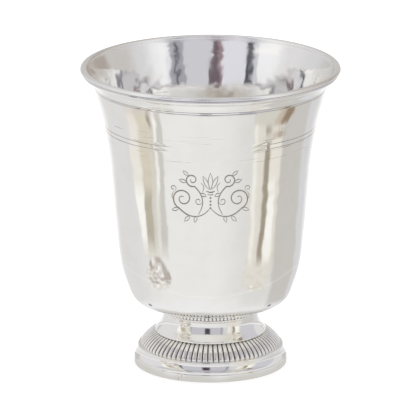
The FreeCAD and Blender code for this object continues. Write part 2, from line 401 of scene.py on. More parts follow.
def scroll(centre, start_radius, end_radius, start_turn, turns, steps=60):
    """A spiral. Turns are counted anticlockwise, from the direction to the right."""
    share = np.linspace(0, 1, steps)
    radius = start_radius + (end_radius - start_radius) * share
    turn = 2 * math.pi * (start_turn + turns * share)
    return np.column_stack([centre[0] + radius * np.cos(turn), centre[1] + radius * np.sin(turn)])


def through(*points, steps=40):
    spline = Spline(points)
    return spline.at(np.linspace(0, spline.knots[-1], steps))


def leaf(root, tip, plumpness):
    """The outline of a pointed leaf."""
    root, tip = np.array(root, float), np.array(tip, float)
    side = np.array([root[1] - tip[1], tip[0] - root[0]]) * plumpness
    middle = root + 0.45 * (tip - root)
    return [through(root, middle + way * side, tip, steps=14) for way in (1, -1)]


def ornament_strokes():
    """Each stroke is a row of points and its half width, thin at both ends."""
    fine, bold = 0.012, 0.021
    half = [
        (np.vstack([
            through((0.03, -0.50), (0.22, -0.66), (0.52, -0.68), (0.80, -0.50), steps=40),
            scroll((0.70, -0.24), 0.275, 0.05, -0.16, 1.45),
        ]), bold),
        (np.vstack([
            through((0.30, -0.64), (0.20, -0.38), (0.26, -0.08), (0.40, 0.10), steps=40),
            scroll((0.46, 0.27), 0.18, 0.035, -0.30, 1.35),
        ]), bold),
        (scroll((0.30, -0.29), 0.10, 0.03, 0.5, 1.1), fine),
        (scroll((0.955, 0.02), 0.085, 0.025, -0.33, -1.1), fine),
        (through((0.93, -0.30), (0.99, -0.20), (0.94, -0.07), steps=16), fine),
        (through((0.20, -0.05), (0.17, 0.10), (0.24, 0.20), steps=16), fine),
    ]
    leaves = [
        ((0.52, -0.69), (0.66, -0.84), 0.20),
        ((0.80, -0.50), (0.99, -0.57), 0.20),
        ((0.35, -0.68), (0.40, -0.86), 0.20),
        ((0.60, 0.20), (0.80, 0.26), 0.20),
        ((0.55, 0.38), (0.70, 0.50), 0.20),
        ((0.26, -0.08), (0.10, -0.16), 0.22),
    ]
    for root, tip, plumpness in leaves:
        half += [(side, fine) for side in leaf(root, tip, plumpness)]
    petals = [((0.0, 0.02), (0.0, 0.46), 0.13), ((0.03, 0.02), (0.19, 0.38), 0.12)]
    strokes = list(half)
    strokes += [(points * (-1, 1), width) for points, width in half]
    for root, tip, plumpness in petals:
        for mirror in (1, -1):
            sides = leaf((mirror * root[0], root[1]), (mirror * tip[0], tip[1]), plumpness)
            strokes += [(side, fine) for side in sides]
    strokes.append((through((-0.10, -0.02), (0.0, -0.05), (0.10, -0.02), steps=12), bold))
    strokes.append((through((-0.07, -0.10), (0.0, -0.12), (0.07, -0.10), steps=12), fine))
    for step in range(4):
        strokes.append((scroll((0, -0.20 - 0.09 * step), 0.022, 0.006, 0, 1.6, steps=24), fine))
    return strokes


def ornament_depths(across, up):
    """How deep the ornament is cut at some places on the flank, from 0 to 1."""
    cut = np.zeros(across.shape)
    places = np.column_stack([across.ravel(), up.ravel()]) / ornament_half_width
    result = cut.ravel()
    for points, half_width in ornament_strokes():
        low = points.min(0) - half_width
        high = points.max(0) + half_width
        near = np.all((places >= low) & (places <= high), axis=1)
        if not near.any():
            continue
        spots = places[near]
        ends = np.diff(points, axis=0)
        share = np.linspace(0, 1, len(ends))
        width = half_width * (0.55 + 0.45 * np.sin(math.pi * share))
        offset = spots[:, None] - points[None, :-1]
        length = (ends ** 2).sum(1) + 1e-12
        along = np.clip((offset * ends).sum(2) / length, 0, 1)
        gap = np.linalg.norm(offset - along[..., None] * ends, axis=2)
        here = np.clip(1.25 - gap / width, 0, 1).max(1)
        result[near] = np.maximum(result[near], here)
    return result.reshape(across.shape)


def hammer_marks(angles, heights, count, turns, climbing):
    """Soft waves that stay the same after a whole turn, about one high at most."""
    waves = np.zeros((len(heights), len(angles)))
    for _ in range(count):
        around = dice.integers(*turns)
        climb = dice.normal(0, climbing)
        phase = dice.uniform(0, 2 * math.pi)
        waves += np.cos(around * angles[None, :] + climb * heights[:, None] + phase) / around ** 0.5
    return waves / np.abs(waves).max()


def make_bowl():
    outline = bowl_outline()
    upper = overall_height - upper_lines_below_lip
    lower = overall_height - lower_lines_below_lip
    lines = [lower - lower_lines_spacing, lower, upper - upper_lines_spacing, upper]
    ornament_low = ornament_centre - ornament_half_width * ornament_fall_share
    ornament_high = ornament_centre + ornament_half_width * ornament_rise_share
    low_flank = np.linspace(0, 1, low_flank_rows)[1:-1] ** low_flank_crowding
    heights = np.concatenate([
        seat_height + flank * low_flank * low_flank_share,
        np.linspace(seat_height + low_flank_share * flank, lip_base, flank_rows)[:-1],
        np.arange(ornament_low, ornament_high, ornament_cell),
    ])
    half = engraved_line_width / 2
    near_line = [np.abs(heights - line) < 2.2 * half for line in lines]
    heights = heights[~np.any(near_line, axis=0)]
    notches = np.concatenate([[line + s * half for s in (-1, -0.5, 0, 0.5, 1)] for line in lines])
    heights = np.unique(np.round(np.concatenate([heights, notches]), 7))
    outside = np.vstack([
        [(seat_radius, seat_height)],
        outline.at_heights(heights),
        [outline.points[-1]],
    ])
    inner_guide = outline.points - bowl_wall * section_normals(outline.at(
        np.linspace(0, outline.knots[-1], 2000)))[
            np.round(outline.knots / outline.knots[-1] * 1999).astype(int)]
    inner_guide[-1] = (lip_inner_radius, nose_level)
    inner = Spline(inner_guide)
    inside = inner.at(np.linspace(inner.knots[-1], 0, inside_rows)[1:])
    floor_edge = inside[-1]
    under = np.linspace(0, neck_inner_radius, underside_rows)
    floor = np.linspace(floor_edge[0], 0, bottom_rows)[1:]
    nose = lip_nose(lip_nose_split, math.pi, nose_rows)
    section = np.vstack([
        np.column_stack([under, dome(under, neck_inner_radius, seat_height)]),
        outside,
        [(lip_wall_radius, nose_level)],
        nose,
        inside,
        np.column_stack([floor, dome(floor, floor_edge[0], floor_edge[1])]),
    ])
    first_out = len(under)
    last_out = first_out + len(outside)
    first_in = last_out + 1 + len(nose)

    reach = ornament_half_width * ornament_side_share / body_radius
    fine = np.linspace(-reach, reach, int(2 * reach * body_radius / ornament_cell))
    rest = np.linspace(reach, 2 * math.pi - reach, bowl_back_columns)[1:-1]
    angles = np.concatenate([fine, rest])

    push = np.zeros((len(section), len(angles)))
    recess = np.zeros_like(push)
    levels = section[:, 1]
    waves = hammer_height * hammer_marks(
        angles, levels, hammer_waves, hammer_turns, hammer_climb)
    fine_waves = fine_hammer_height * hammer_marks(
        angles, levels, fine_hammer_waves, fine_hammer_turns, fine_hammer_climb)
    calm = smoothstep(levels, seat_height, seat_height + calm_above_seat)
    calm *= 1 - smoothstep(levels, *(lip_base - below for below in calm_below_lip))
    waves *= calm[:, None]
    push[first_out:last_out] = waves[first_out:last_out]
    push[first_in:] = -waves[first_in:] - (calm[:, None] * fine_waves)[first_in:]

    out_heights = outside[:, 1]
    turn = np.angle(np.exp(1j * angles))
    worn = 1 - smoothstep(np.abs(np.degrees(turn)), *lower_lines_worn_turns)
    for line in lines:
        share = np.clip(1 - np.abs(out_heights - line) / half, 0, 1)
        kept = 1 - worn if line <= lower + half else np.ones(len(angles))
        cut = share[:, None] * (worn_line_share + (1 - worn_line_share) * kept)[None, :]
        push[first_out:last_out] -= engraved_line_depth * cut
        recess[first_out:last_out] = np.maximum(recess[first_out:last_out], cut)
    across = outside[:, 0][:, None] * turn[None, :]
    up = np.repeat((out_heights - ornament_centre)[:, None], len(angles), axis=1)
    cut = ornament_depths(across, up)
    push[first_out:last_out] -= ornament_depth * cut
    recess[first_out:last_out] = np.maximum(recess[first_out:last_out], cut)
    return turned("beaker_bowl", section, angles, push, recess)


def make_lip():
    groove_bottom = nose_level - lip_groove_height
    reed_top = np.array([rim_radius - lip_reed_step, groove_bottom])
    reed_foot = np.array([lip_seat_radius + lip_reed_step, lip_base])
    reed_middle = reed_top - np.array(reed_middle_shares) * (reed_top - reed_foot)
    groove_middle = nose_level - lip_groove_height / 2
    section = np.vstack([
        [(lip_seat_radius, lip_base)],
        arc(reed_foot, reed_middle, reed_top, 12),
        [(rim_radius - lip_groove_depth, groove_middle)],
        lip_nose(0, lip_nose_split, lip_nose_rows),
        [(lip_wall_radius, nose_level)],
    ])
    grooved = np.abs(section[:, 1] - groove_middle) < lip_groove_height / 4
    foot = np.abs(section[:, 1] - lip_base) < 0.0001
    depth = np.where(grooved, 1.0, np.where(foot, 0.7, 0.0))
    return turned("beaker_lip", section, recess=depth[:, None])


# Foot

def make_beads():
    """A row of balls round a ring, as one surface that dips to the ring between them."""
    count = round(2 * math.pi * bead_circle / (bead_diameter + bead_gap))
    root = bead_circle - bead_root_depth
    ball = bead_diameter / 2
    middle = (bead_base + seat_height) / 2
    rows = np.linspace(-1, 1, bead_rows)
    levels = ball * np.sin(rows * math.pi / 2)
    columns = np.sin(np.linspace(-1, 1, bead_columns + 1)[:-1] * math.pi / 2)
    pitch = 2 * math.pi / count
    angles = np.concatenate([(k + columns / 2) * pitch for k in range(count)])
    offset = np.tile(columns / 2 * pitch * bead_circle, count)
    gap = ball ** 2 - levels[:, None] ** 2 - offset[None, :] ** 2
    radius = np.where(gap > 0, bead_circle + np.sqrt(np.clip(gap, 0, None)), root)
    depth = smoothstep(bead_circle + 0.55 * ball - radius, 0, 0.5 * ball)
    section = np.vstack([
        [(neck_inner_radius, bead_base)],
        np.column_stack([np.full(bead_rows, root), middle + levels]),
        [(neck_inner_radius, seat_height)],
    ])
    push = np.zeros((len(section), len(angles)))
    push[1:-1] = radius - root
    recess = np.zeros_like(push)
    recess[1:-1] = depth
    recess[0] = recess[-1] = 1
    up = np.repeat(section[:, 1:], len(angles), axis=1)
    return ringed("beaker_beads", section[:, :1] + push, up, angles, recess)


def make_wire():
    root = wire_radius - (bead_base - wire_base) / 2
    middle = (wire_base + bead_base) / 2
    section = np.vstack([
        [(neck_inner_radius, wire_base)],
        arc((root, wire_base), (wire_radius, middle), (root, bead_base), 12),
        [(neck_inner_radius, bead_base)],
    ])
    edge = np.abs(section[:, 1] - middle) / (middle - wire_base)
    depth = smoothstep(edge, 0.75, 1.0) * 0.8
    return turned("beaker_collar_wire", section, recess=depth[:, None])


neck_radius = neck_inner_radius + foot_wall
neck_height = wire_base - neck_base
gadroon_head_radius = flange_radius - gadroon_ledge
gadroon_inner_head = gadroon_head_radius - gadroon_wall
skirt_waist_radius = base_radius - skirt_waist_inset
skirt_fillet_radius = skirt_waist_radius + skirt_fillet_reach
skirt_top_radius = skirt_fillet_radius - skirt_fillet_round
gadroon_foot_radius = skirt_top_radius - gadroon_ledge
gadroon_inner_foot = gadroon_foot_radius - gadroon_wall
band_inner_radius = base_radius - band_wall


def make_neck():
    spread = flange_radius - neck_radius
    straight_end = wire_base - neck_straight_share * neck_height
    drop = straight_end - neck_base
    slope_start = (
        neck_radius + neck_slope_shares[0] * spread,
        neck_base + neck_slope_shares[1] * neck_height,
    )
    cove_middle = (
        neck_radius + neck_middle_shares[0] * (slope_start[0] - neck_radius),
        slope_start[1] + neck_middle_shares[1] * (straight_end - slope_start[1]),
    )
    inner_foot = (gadroon_inner_head - neck_inner_ledge, neck_base)
    inner_middle = (
        neck_inner_radius + neck_inner_middle_shares[0] * (inner_foot[0] - neck_inner_radius),
        straight_end - neck_inner_middle_shares[1] * drop,
    )
    section = np.vstack([
        [inner_foot, (flange_radius, neck_base), (flange_radius, neck_base + neck_flange_edge)],
        arc(slope_start, cove_middle, (neck_radius, straight_end), 28),
        [(neck_radius + neck_top_flare, wire_base - neck_shade_height)],
        [(neck_radius + neck_top_flare, wire_base), (neck_inner_radius, wire_base)],
        arc((neck_inner_radius, straight_end), inner_middle, inner_foot, 16)[:-1],
    ])
    depth = np.where(section[:, 1] > wire_base - neck_shade_height / 2, 1.0, 0.0)
    return turned("beaker_neck", section, recess=depth[:, None])


def gadroon_floor(share):
    """Points of the grooves between the lobes, and the directions outwards from them."""
    start = np.array([gadroon_foot_radius, gadroon_base])
    end = np.array([gadroon_head_radius, neck_base - gadroon_shoulder])
    chord = end - start
    length = np.linalg.norm(chord)
    along = chord / length
    outwards = np.array([along[1], -along[0]])
    swing = 2 * math.atan(2 * gadroon_crown / length)
    radius = length / (2 * math.sin(swing))
    centre = start + chord / 2 - outwards * (radius - gadroon_crown)
    angle = swing * (2 * np.asarray(share)[:, None] - 1)
    normal = outwards * np.cos(angle) + along * np.sin(angle)
    return centre + normal * radius, normal


def make_gadroons():
    count = round(2 * math.pi * gadroon_foot_radius / gadroon_pitch)
    share = (1 - np.cos(math.pi * np.linspace(0, 1, lobe_rows))) / 2
    floor, normal = gadroon_floor(share)
    from_end = np.minimum(share, 1 - share) / (gadroon_end_share / 2)
    end_rise = np.sqrt(1 - (1 - np.minimum(from_end, 1)) ** 2)
    across = np.cos(math.pi * (1 - np.arange(lobe_columns) / lobe_columns))
    angles = np.concatenate([(2 * k + across) * math.pi / count for k in range(count)])
    bulge = np.tile(np.sqrt(np.clip(1 - across ** 2, 0, None)), count)
    rise = gadroon_depth * end_rise[:, None] * bulge[None, :]
    section = np.vstack([
        [(gadroon_inner_foot, gadroon_base)],
        floor,
        [(gadroon_head_radius, neck_base), (gadroon_inner_head, neck_base)],
    ])
    out = np.repeat(section[:, :1], len(angles), axis=1)
    up = np.repeat(section[:, 1:], len(angles), axis=1)
    out[1:-2] += rise * normal[:, :1]
    up[1:-2] += rise * normal[:, 1:]
    depth = np.zeros(out.shape)
    # Painted shade: the grooves between the lobes are marked as recesses so they darken, less
    # towards the lobes' ends.
    groove = 1 - smoothstep(np.repeat(bulge[None, :], len(floor), axis=0), 0.45, 0.95)
    depth[1:-2] = groove * (0.55 + 0.45 * end_rise[:, None])
    return ringed("beaker_gadroons", out, up, angles, depth)


def make_skirt():
    fillet_base = gadroon_base - skirt_fillet_height
    cove_top = np.array([skirt_waist_radius, fillet_base])
    cove_foot = np.array([skirt_lip_radius, band_height + skirt_lip_thickness])
    cove_middle = (
        cove_top[0] + skirt_middle_shares[0] * (cove_foot[0] - cove_top[0]),
        cove_foot[1] + skirt_middle_shares[1] * (cove_top[1] - cove_foot[1]),
    )
    flange_inner = band_inner_radius - foot_wall
    inner_top = np.array([skirt_waist_radius - foot_wall, gadroon_base - foot_wall])
    skirt_height = gadroon_base - band_height
    inner_foot = np.array([flange_inner, band_height + skirt_inner_foot_share * skirt_height])
    inner_middle = (
        inner_top[0] + skirt_middle_shares[0] * (inner_foot[0] - inner_top[0]),
        inner_foot[1] + skirt_middle_shares[1] * (inner_top[1] - inner_foot[1]),
    )
    fillet_middle = (skirt_fillet_radius, gadroon_base - skirt_fillet_height / 2)
    rim_inner = gadroon_inner_foot - skirt_inner_ledge
    section = np.vstack([
        [
            (flange_inner, skirt_foot),
            (band_inner_radius, skirt_foot),
            (band_inner_radius, band_height),
            (skirt_lip_radius, band_height),
        ],
        arc(cove_foot, cove_middle, cove_top, 24),
        arc(cove_top, fillet_middle, (skirt_top_radius, gadroon_base), 12)[1:],
        [(rim_inner, gadroon_base), (rim_inner, inner_top[1])],
        arc(inner_top, inner_middle, inner_foot, 14),
    ])
    return turned("beaker_skirt", section)


def make_band():
    section = np.array([
        (band_inner_radius, 0),
        (base_radius - band_edge, 0),
        (base_radius, band_edge),
        (base_radius, band_height - band_edge),
        (base_radius - band_edge, band_height),
        (band_inner_radius, band_height),
    ])
    recess = np.zeros((len(section), turn_steps))
    recess[2, band_joint_step] = 0.6
    recess[3, band_joint_step + band_joint_slant] = 0.6
    return turned("beaker_base_band", section, recess=recess)


# Materials

class Graph:
    """Short ways to join shader nodes in one node tree."""

    def __init__(self, tree):
        self.tree = tree
        tree.nodes.clear()

    def node(self, kind, **settings):
        made = self.tree.nodes.new(kind)
        for name, value in settings.items():
            setattr(made, name, value)
        return made

    def join(self, source, socket):
        if isinstance(source, (int, float)):
            socket.default_value = source
        elif isinstance(source, tuple):
            socket.default_value = (*source, 1.0) if len(socket.default_value) == 4 else source
        else:
            self.tree.links.new(source, socket)

    def maths(self, operation, first, second=0.0):
        made = self.node("ShaderNodeMath", operation=operation)
        self.join(first, made.inputs[0])
        self.join(second, made.inputs[1])
        return made.outputs[0]

    def product(self, *values):
        result = values[0]
        for value in values[1:]:
            result = self.maths("MULTIPLY", result, value)
        return result

    def total(self, first, second):
        return self.maths("ADD", first, second)

    def difference(self, first, second):
        return self.maths("SUBTRACT", first, second)

    def length(self, across, along):
        """How long an arrow is that goes so far across and along."""
        squares = self.total(self.product(across, across), self.product(along, along))
        return self.maths("SQRT", squares)

    def separate(self, vector):
        made = self.node("ShaderNodeSeparateXYZ")
        self.join(vector, made.inputs[0])
        return made.outputs

    def combine(self, *values):
        made = self.node("ShaderNodeCombineXYZ")
        for value, socket in zip(values, made.inputs):
            self.join(value, socket)
        return made.outputs[0]

    def mix_shaders(self, factor, first, second):
        made = self.node("ShaderNodeMixShader")
        for source, socket in zip((factor, first, second), made.inputs):
            self.join(source, socket)
        return made.outputs[0]

    def surface(self, shader, output="ShaderNodeOutputMaterial"):
        self.join(shader, self.node(output).inputs["Surface"])

    def ramp(self, value, low, high, start=0.0, end=1.0):
        """A smooth step from start to end while the value goes from low to high."""
        made = self.node("ShaderNodeMapRange", interpolation_type="SMOOTHSTEP")
        for source, name in ((value, "Value"), (low, "From Min"), (high, "From Max"),
                             (start, "To Min"), (end, "To Max")):
            self.join(source, made.inputs[name])
        return made.outputs[0]

    def band(self, value, low, high, soft):
        """One between low and high, zero outside, with soft edges."""
        rise = self.ramp(value, low - soft, low + soft)
        fall = self.ramp(value, high - soft, high + soft, 1.0, 0.0)
        return self.maths("MULTIPLY", rise, fall)

    def blend(self, factor, first, second):
        made = self.node("ShaderNodeMix", data_type="RGBA")
        self.join(factor, made.inputs[0])
        self.join(first, made.inputs[6])
        self.join(second, made.inputs[7])
        return made.outputs[2]

    def noise(self, vector, scale, detail=2.0, roughness=0.5):
        made = self.node("ShaderNodeTexNoise")
        self.join(vector, made.inputs["Vector"])
        made.inputs["Scale"].default_value = scale
        made.inputs["Detail"].default_value = detail
        made.inputs["Roughness"].default_value = roughness
        return made.outputs["Fac"]


def new_material(name):
    material = bpy.data.materials.new(name)
    material.use_nodes = True
    return material, Graph(material.node_tree)


def silver(name, tarnish_and_shade_strength, base, roughness, scrape_strength=0.0):
    """Old polished silver: soft clouds, fine scratches, a worn lip, and tarnish with painted shade
    in the recesses.

    The scrapes lie in a belt round the bowl."""
    material, g = new_material(name)
    place = g.node("ShaderNodeTexCoord").outputs["Object"]
    x, y, height = g.separate(place)
    turn = g.maths("ARCTAN2", x, y)
    recess = g.node("ShaderNodeAttribute", attribute_name="recess").outputs["Fac"]
    cloud = g.noise(place, cloud_scale, 4.0, 0.6)
    speck = g.noise(place, speck_scale, 3.0, 0.6)
    scratch = g.noise(g.combine(g.product(turn, scratch_stretch), height), scratch_scale, 2.0, 0.6)
    # The recesses darken to the tarnish colour: partly real tarnish, partly painted shade in
    # grooves and between parts.
    dark = g.ramp(recess, 0.1, 0.95)
    dark = g.product(dark, tarnish_and_shade_strength, g.ramp(speck, 0.2, 0.5, 0.7, 1.0))
    clouded = tuple(channel * share for channel, share in zip(base, clouded_shares))
    colour = g.blend(g.ramp(cloud, 0.40, 0.75, 0.0, 0.35), base, clouded)
    colour = g.blend(dark, colour, tarnish_and_shade_colour)
    scrape_place = g.combine(
        g.product(turn, scrape_stretch), g.total(height, g.product(turn, scrape_slope)))
    scrape = g.noise(scrape_place, scrape_scale, 1.0, 0.5)
    worn_belt = g.product(
        g.band(height, *scrape_belt, 0.002),
        g.ramp(g.noise(place, scrape_patch_scale), 0.42, 0.56),
        scrape_strength)
    scraped = g.product(g.band(scrape, 0.655, 0.70, 0.015), worn_belt)
    colour = g.blend(scraped, colour, scrape_colour)
    rough = g.ramp(cloud, 0.3, 0.7, roughness, roughness + 0.05)
    rough = g.total(rough, g.product(dark, 0.35))
    rough = g.total(rough, g.ramp(scratch, 0.62, 0.75, 0.0, 0.06))
    lip_wear = g.ramp(height, nose_level - nose_radius, nose_level, 0.0, lip_wear_roughness)
    rough = g.total(rough, lip_wear)
    bump = g.node("ShaderNodeBump")
    bump.inputs["Strength"].default_value = scratch_strength
    bump.inputs["Distance"].default_value = scratch_height
    g.join(g.total(scratch, g.product(speck, 0.6)), bump.inputs["Height"])
    shader = g.node("ShaderNodeBsdfPrincipled")
    shader.inputs["Metallic"].default_value = 1.0
    g.join(colour, shader.inputs["Base Color"])
    g.join(rough, shader.inputs["Roughness"])
    g.join(bump.outputs[0], shader.inputs["Normal"])
    g.surface(shader.outputs[0])
    return material


# The studio: what the silver mirrors

def mirrored(red, green, blue):
    """The light that looks like this colour, from 0 to 255, when the silver mirrors it."""
    seen = zip((red, green, blue), silver_colour)
    return tuple(min(1.0, (channel / 255) ** 2.2 / share) for channel, share in seen)


front_paper = mirrored(231, 230, 227)
front_shade = mirrored(218, 216, 212)
left_paper = mirrored(218, 217, 215)
right_paper = mirrored(197, 194, 189)
# A painted contact shadow on the paper round the foot
contact_shadow_grey = mirrored(205, 202, 197)
gleam = mirrored(248, 246, 239)
cream = mirrored(223, 218, 208)
pale_olive = mirrored(230, 226, 216)
olive = mirrored(215, 208, 191)
tan = mirrored(209, 206, 197)
blush = mirrored(212, 205, 200)
pale_blush = mirrored(231, 225, 217)
left_cream = mirrored(224, 221, 213)
grey_line = mirrored(200, 197, 191)
brown = mirrored(181, 173, 156)
brown_core = mirrored(155, 145, 129)
tan_wood = mirrored(197, 184, 168)
dark_brown = mirrored(145, 128, 107)
umber = mirrored(172, 162, 155)
window = mirrored(252, 252, 252)
pale_lavender = mirrored(218, 217, 223)
lavender = mirrored(200, 199, 204)
screen_grey = mirrored(160, 159, 166)
ink = mirrored(82, 84, 90)
screen_lavender = mirrored(193, 191, 198)
camera_black = mirrored(76, 68, 74)
maroon = mirrored(146, 127, 131)
dark_maroon = mirrored(108, 97, 102)
white_wall = mirrored(237, 237, 238)
grey_wall = mirrored(219, 217, 217)
cool_grey = mirrored(210, 209, 210)
warm_grey = mirrored(196, 192, 188)
warm_wall = mirrored(170, 161, 154)
far_wall = mirrored(193, 190, 186)


def strips(g, turn, tone, edges):
    """Tones side by side. Each edge has its turn in degrees, its softness and the next tone."""
    for edge, soft, beyond in edges:
        tone = g.blend(g.ramp(turn, edge - soft, edge + soft), tone, beyond)
    return tone


def spot(g, x, y, centre, radius, softness):
    """One inside a round spot on the floor, zero outside."""
    away = g.length(g.difference(x, centre[0]), g.difference(y, centre[1]))
    return g.ramp(away, radius - softness, radius + softness, 1.0, 0.0)


def world_place(g):
    return g.node("ShaderNodeNewGeometry").outputs["Position"]


def turn_from_front(g, x, y):
    """The direction of a place in degrees: 0 to the front, positive to the right."""
    return g.product(g.maths("ARCTAN2", x, g.maths("MULTIPLY", y, -1.0)), 180 / math.pi)


def studio_floor_pattern(g):
    """What a glossy surface sees on the floor: pale paper with a painted contact shadow round the
    foot, greyer far away.
    """
    place = world_place(g)
    x, y, _ = g.separate(place)
    wave = g.noise(place, 30.0, 3.0, 0.55)
    turn = g.total(turn_from_front(g, x, y), g.ramp(wave, 0.3, 0.7, -2.0, 2.0))
    distance = g.total(g.length(x, y), g.ramp(wave, 0.3, 0.7, -0.003, 0.003))
    tone = strips(g, turn, left_paper, (
        (-75.0, 25.0, front_paper),
        (25.0, 25.0, front_shade),
        (76.0, 4.0, right_paper),
        (120.0, 3.0, cool_grey),
    ))
    blotch = g.noise(place, 110.0, 2.0, 0.6)
    at_end = g.band(distance, *streak_end, 0.002)
    for first, last, dark, pale in ((-74.0, -50.0, tan, left_cream), (42.0, 66.0, olive, cream)):
        end = g.product(g.band(turn, first, last, 2.0), at_end)
        tone = g.blend(end, tone, blotches(g, blotch, dark, pale))
    # A painted ring of light on the floor, in the window's tone.
    ring = g.length(x, g.difference(y, ring_centre))
    ring = g.band(ring, ring_radius - ring_width, ring_radius + ring_width, ring_width)
    tone = g.blend(g.product(ring, ring_strength), tone, window)
    tone = g.blend(g.ramp(g.maths("ABSOLUTE", turn), 135.0, 160.0), tone, window)
    tone = g.blend(g.ramp(distance, 0.3, 0.9), tone, cool_grey)
    tone = g.blend(g.ramp(distance, 0.046, 0.062, 0.6, 0.0), tone, white_wall)
    for mark in mark_places:
        tone = g.blend(spot(g, x, y, mark, mark_radius, mark_softness), tone, ink)
    # Painted contact shadow: the paper greys round the foot.
    return g.blend(g.ramp(distance, 0.032, 0.042, 1.0, 0.0), tone, contact_shadow_grey)


def blotches(g, blotch, dark, pale):
    """Soft patches of two tones with a few bright ones."""
    return strips(g, blotch, dark, (
        (0.43, 0.02, blush),
        (0.50, 0.02, pale),
        (0.60, 0.02, gleam),
    ))


def card_left_pattern(g, turn, height, blotch, mottle):
    """The tones of the left card and where it is solid."""
    leaning = g.total(turn, g.product(g.difference(height, 0.05), 260.0))
    tone = strips(g, turn, gleam, (
        (-67.5, 0.8, brown),
        (-57.0, 1.2, tan),
        (-52.5, 1.0, left_cream),
        (-49.0, 0.8, grey_line),
    ))
    calm = strips(g, turn, pale_olive, (
        (-69.0, 1.5, olive),
        (-55.0, 1.0, tan),
        (-51.0, 1.0, gleam),
        (-48.0, 0.8, grey_line),
    ))
    tone = g.blend(g.ramp(height, 0.052, 0.060, 0.0, 0.85), tone, calm)
    tone = g.blend(g.ramp(mottle, 0.5, 0.7, 0.0, 0.3), tone, pale_olive)
    tone = g.blend(g.ramp(height, 0.026, 0.038, 1.0, 0.0), tone, left_cream)
    solid = g.product(g.ramp(leaning, -79.5, -77.5), g.ramp(turn, -43.5, -42.0, 1.0, 0.0))
    top = strips(g, turn, pale_blush, (
        (-69.0, 2.0, olive),
        (-54.5, 0.6, brown_core),
        (-52.5, 0.6, tan),
        (-50.0, 0.8, gleam),
        (-47.0, 0.8, grey_line),
    ))
    top = g.blend(g.ramp(height, 0.074, 0.078, 0.0, 0.6), top, blush)
    is_top = g.ramp(height, 0.0672, 0.0680)
    tone = g.blend(is_top, tone, top)
    solid = g.blend(is_top, solid, g.band(turn, -79.5, -43.0, 1.0))
    across = g.product(g.difference(turn, -58.5), 1 / 16.5)
    along = g.product(g.difference(height, 0.011), 1 / 0.0165)
    away = g.total(g.product(across, across), g.product(along, along))
    shape = blotches(g, blotch, umber, left_cream)
    shadow = g.product(g.band(turn, -51.5, -43.0, 1.0), g.band(height, 0.008, 0.026, 0.002), 0.8)
    shape = g.blend(shadow, shape, umber)
    is_low = g.ramp(height, 0.026, 0.028, 1.0, 0.0)
    solid = g.blend(is_low, solid, g.ramp(away, 0.92, 1.02, 1.0, 0.0))
    return g.blend(is_low, tone, shape), solid


def card_right_pattern(g, turn, height, blotch, mottle):
    """The tones of the right card and where it is solid."""
    leaning = g.difference(turn, g.product(g.difference(height, 0.05), 67.0))
    tone = strips(g, leaning, cream, (
        (49.2, 0.8, brown_core),
        (55.2, 0.7, gleam),
        (64.5, 0.8, cream),
    ))
    tone = g.blend(g.product(g.band(turn, 38.5, 42.5, 1.5), 0.6), tone, gleam)
    upper = g.product(g.ramp(height, 0.055, 0.059), g.band(leaning, 55.2, 68.0, 0.7))
    tone = g.blend(upper, tone, pale_olive)
    tone = g.blend(g.ramp(mottle, 0.5, 0.7, 0.0, 0.3), tone, cream)
    patches = strips(g, blotch, tan, ((0.40, 0.03, cream),))
    tone = g.blend(g.ramp(height, 0.021, 0.030, 1.0, 0.0), tone, patches)
    solid = g.band(leaning, 37.5, 68.2, 1.0)
    slanting = g.difference(turn, g.product(g.difference(height, 0.081), 300.0))
    top = strips(g, slanting, tan, (
        (60.5, 1.5, tan_wood),
        (66.5, 1.2, dark_brown),
    ))
    off_point = g.product(g.maths("ABSOLUTE", g.difference(turn, 54.0)), 0.00016)
    ragged = g.total(g.difference(height, off_point), g.ramp(mottle, 0.3, 0.7, -0.0005, 0.0005))
    is_top = g.ramp(ragged, 0.0663, 0.0667)
    tone = g.blend(is_top, tone, top)
    top_solid = g.product(g.ramp(turn, 35.5, 36.5), g.ramp(slanting, 75.0, 76.0, 1.0, 0.0))
    return tone, g.blend(is_top, solid, top_solid)


def studio_card_pattern(g, strip_pattern):
    """What a glossy surface sees on an upright card beside the beaker: strips of light and wood."""
    place = world_place(g)
    x, y, height = g.separate(place)
    wave = g.ramp(g.noise(place, 90.0, 3.0, 0.6), 0.3, 0.7, -0.8, 0.8)
    turn = g.total(turn_from_front(g, x, y), wave)
    blotch = g.noise(g.combine(x, y, g.product(height, 1.8)), 130.0, 2.0, 0.6)
    mottle = g.noise(place, 500.0, 3.0, 0.65)
    return strip_pattern(g, turn, height, blotch, mottle)


def studio_canopy_pattern(g):
    """What the foot sees above it: a lavender screen with the camera in the middle."""
    x, y, _ = g.separate(world_place(g))
    turn = turn_from_front(g, x, y)
    distance = g.length(x, y)
    tone = strips(g, turn, far_wall, (
        (-143.0, 3.0, grey_wall),
        (-84.0, 2.0, left_cream),
        (-50.5, 0.8, ink),
        (-45.5, 0.8, screen_lavender),
        (24.0, 0.8, screen_grey),
        (29.0, 0.8, cool_grey),
        (42.0, 2.0, cream),
        (72.0, 2.0, lavender),
        (118.0, 3.0, grey_wall),
        (146.0, 3.0, far_wall),
    ))
    camera = g.product(g.band(turn, -13.0, -1.0, 1.0), g.band(distance, 0.10, 0.42, 0.01))
    tone = g.blend(camera, tone, camera_black)
    tone = g.blend(g.ramp(distance, 0.085, 0.125, 0.45, 0.0), tone, screen_grey)
    return g.blend(g.ramp(distance, 0.7, 1.0), tone, white_wall)


